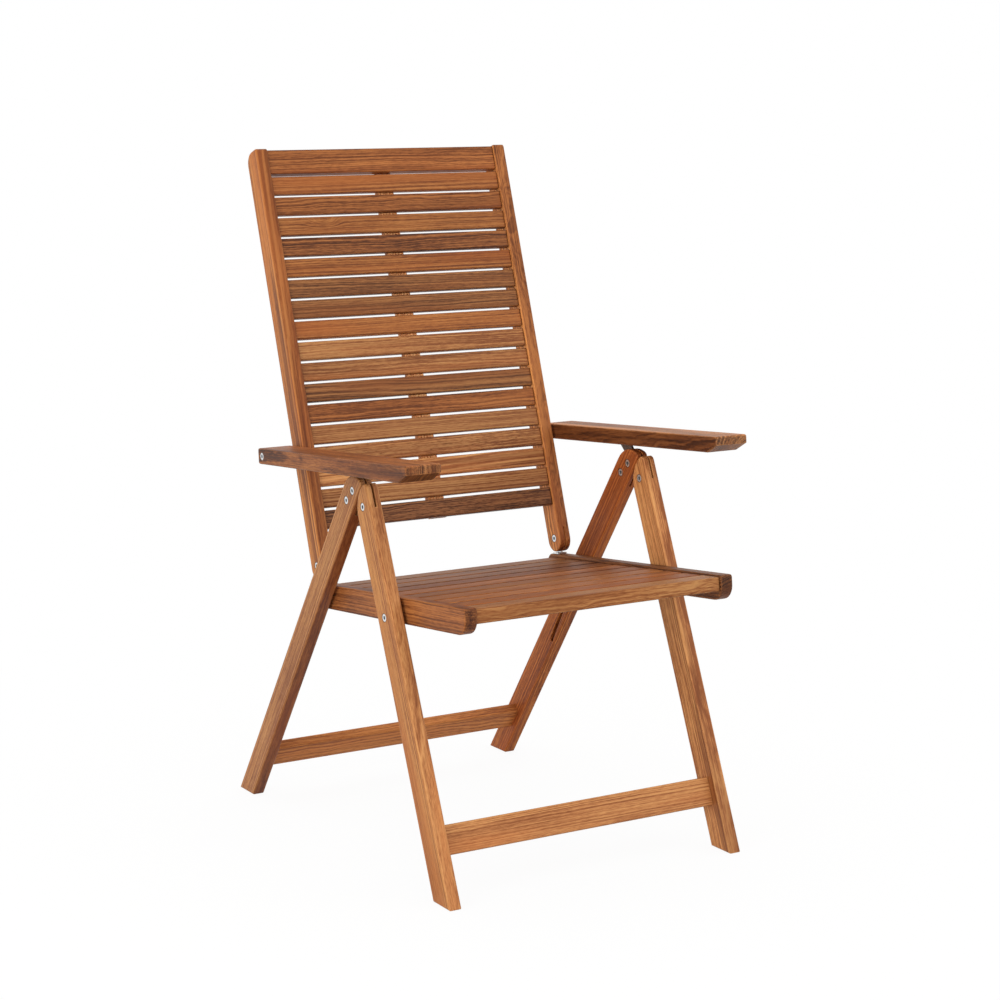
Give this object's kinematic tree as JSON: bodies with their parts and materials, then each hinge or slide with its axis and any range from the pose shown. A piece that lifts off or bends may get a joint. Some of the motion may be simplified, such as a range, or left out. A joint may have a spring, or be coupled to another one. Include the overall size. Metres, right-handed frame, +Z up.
{
  "type": "folding reclining armchair",
  "caption": "Folding high-back slatted teak armchair with a reclining back, lifting armrests, hinged crossed legs, seat pins running in grooves and zinc plated bolts.",
  "frame": {"origin": "middle of the open chair's bounding box, at floor level", "axes": "+Z up, the chair faces -Y, +X is the sitter's left"},
  "size_m": [0.595, 0.7706, 1.0962],
  "materials": {
    "teak_1": "oiled, satin",
    "teak_2": "oiled, satin",
    "teak_3": "oiled, satin",
    "teak_4": "oiled, satin",
    "teak_5": "oiled, satin",
    "zinc_steel": "zinc plated, satin"
  },
  "bodies": {
    "rear_frame": {"rear_leg_left": "teak_2", "rear_leg_right": "teak_3", "rear_stretcher": "teak_2", "leg_plate_left": "zinc_steel", "leg_plate_right": "zinc_steel", "plate_bolt_left": "zinc_steel", "plate_bolt_right": "zinc_steel"},
    "front_frame": {"front_leg_left": "teak_1", "front_leg_right": "teak_2", "front_stretcher": "teak_1", "leg_pivot_bolt_left": "zinc_steel", "leg_pivot_bolt_right": "zinc_steel", "seat_pivot_bolt_left": "zinc_steel", "seat_pivot_bolt_right": "zinc_steel"},
    "seat": {"seat_rail_left": "teak_3", "seat_rail_right": "teak_2", "seat_pin_left": "zinc_steel", "seat_pin_right": "zinc_steel", "hinge_bracket_left": "zinc_steel", "hinge_bracket_right": "zinc_steel", "seat_slat_01": "teak_2", "seat_slat_02": "teak_4", "seat_slat_03": "teak_1", "seat_slat_04": "teak_3", "seat_slat_05": "teak_5", "seat_slat_06": "teak_2", "seat_slat_07": "teak_4", "seat_slat_08": "teak_1", "seat_slat_09": "teak_3", "seat_slat_10": "teak_5", "seat_batten": "teak_4"},
    "hinge_bolts": {"back_hinge_bolt_left": "zinc_steel", "back_hinge_bolt_right": "zinc_steel"},
    "back": {"back_stile_left": "teak_2", "back_stile_right": "teak_1", "back_top_rail": "teak_3", "back_slat_01": "teak_2", "back_slat_02": "teak_5", "back_slat_03": "teak_3", "back_slat_04": "teak_1", "back_slat_05": "teak_4", "back_slat_06": "teak_2", "back_slat_07": "teak_5", "back_slat_08": "teak_3", "back_slat_09": "teak_1", "back_slat_10": "teak_4", "back_slat_11": "teak_2", "back_slat_12": "teak_5", "back_slat_13": "teak_3", "back_slat_14": "teak_1", "back_slat_15": "teak_4", "back_slat_16": "teak_2", "back_slat_17": "teak_5", "back_batten": "teak_3"},
    "arm_washer_left": {"arm_washer_left": "zinc_steel"},
    "arm_bolt_left": {"arm_bolt_left": "zinc_steel"},
    "armrest_left": {"armrest_left": "teak_4"},
    "arm_washer_right": {"arm_washer_right": "zinc_steel"},
    "arm_bolt_right": {"arm_bolt_right": "zinc_steel"},
    "armrest_right": {"armrest_right": "teak_3"}
  },
  "joints": [
    {"name": "fold", "type": "hinge", "parent": "rear_frame", "child": "front_frame", "pos_m": [0, -0.11818, 0.5626], "axis": [1, 0, 0], "range_deg": [0, 58.8]},
    {"name": "seat_fold", "type": "hinge", "parent": "front_frame", "child": "seat", "pos_m": [0, -0.18262, 0.40312], "axis": [-1, 0, 0], "range_deg": [0, 101.73]},
    {"name": "back_fold", "type": "hinge", "parent": "seat", "child": "hinge_bolts", "pos_m": [0, 0.10608, 0.43288], "axis": [1, 0, 0], "range_deg": [0, 97.38]},
    {"name": "back_recline", "type": "hinge", "parent": "hinge_bolts", "child": "back", "pos_m": [0, 0.10608, 0.43288], "axis": [-1, 0, 0], "range_deg": [0, 32]},
    {"name": "arm_fold_left", "type": "hinge", "parent": "back", "child": "arm_washer_left", "pos_m": [0.25, 0.16593, 0.60944], "axis": [-1, 0, 0], "range_deg": [0, 105.66]},
    {"name": "arm_follow_left", "type": "hinge", "parent": "arm_washer_left", "child": "arm_bolt_left", "pos_m": [0.25, 0.16593, 0.60944], "axis": [1, 0, 0], "range_deg": [0, 22.89]},
    {"name": "arm_lift_left", "type": "hinge", "parent": "arm_bolt_left", "child": "armrest_left", "pos_m": [0.25, 0.16593, 0.60944], "axis": [-1, 0, 0], "range_deg": [0, 76]},
    {"name": "arm_fold_right", "type": "hinge", "parent": "back", "child": "arm_washer_right", "pos_m": [-0.25, 0.16593, 0.60944], "axis": [-1, 0, 0], "range_deg": [0, 105.66]},
    {"name": "arm_follow_right", "type": "hinge", "parent": "arm_washer_right", "child": "arm_bolt_right", "pos_m": [-0.25, 0.16593, 0.60944], "axis": [1, 0, 0], "range_deg": [0, 22.89]},
    {"name": "arm_lift_right", "type": "hinge", "parent": "arm_bolt_right", "child": "armrest_right", "pos_m": [-0.25, 0.16593, 0.60944], "axis": [-1, 0, 0], "range_deg": [0, 76]}
  ],
  "couplings": [
    {"joint": "seat_fold", "follows": "fold", "ratio": 1.73},
    {"joint": "back_fold", "follows": "fold", "ratio": 1.656},
    {"joint": "arm_fold_left", "follows": "fold", "ratio": 1.7968},
    {"joint": "arm_follow_left", "follows": "back_recline", "ratio": 0.715},
    {"joint": "arm_fold_right", "follows": "fold", "ratio": 1.7968},
    {"joint": "arm_follow_right", "follows": "back_recline", "ratio": 0.715}
  ]
}
